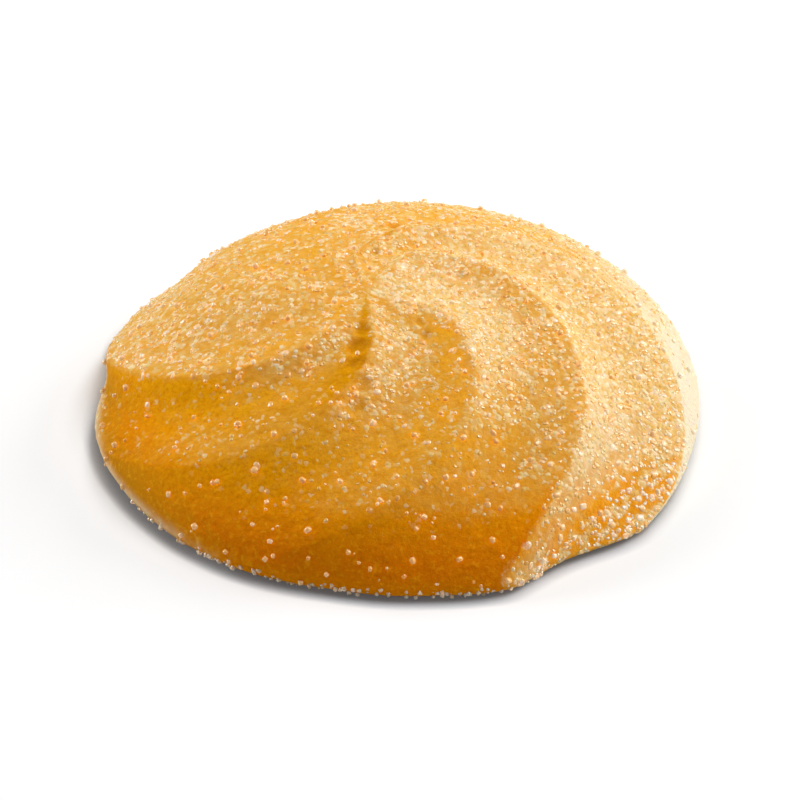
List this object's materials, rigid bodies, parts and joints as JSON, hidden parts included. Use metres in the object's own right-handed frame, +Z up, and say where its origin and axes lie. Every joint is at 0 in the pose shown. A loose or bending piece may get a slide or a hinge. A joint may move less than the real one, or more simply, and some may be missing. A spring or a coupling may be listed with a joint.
{
  "type": "rice biscuit",
  "caption": "Round baked biscuit, a low dome piped as a twisted swirl of ridges, rolled in coarse sugar, on a flat base.",
  "frame": {"origin": "middle of the flat base, on the surface that the biscuit lies on", "axes": "+Z up through the crown; the biscuit is seen in the picture from -Y, with +X to the right"},
  "size_m": [0.0598, 0.0589, 0.0136],
  "materials": {
    "crust": "baked golden crust, matte with a faint sheen",
    "sugar": "clear sugar crystals, glinting"
  },
  "bodies": {
    "root": {"biscuit": "crust"}
  },
  "joints": []
}
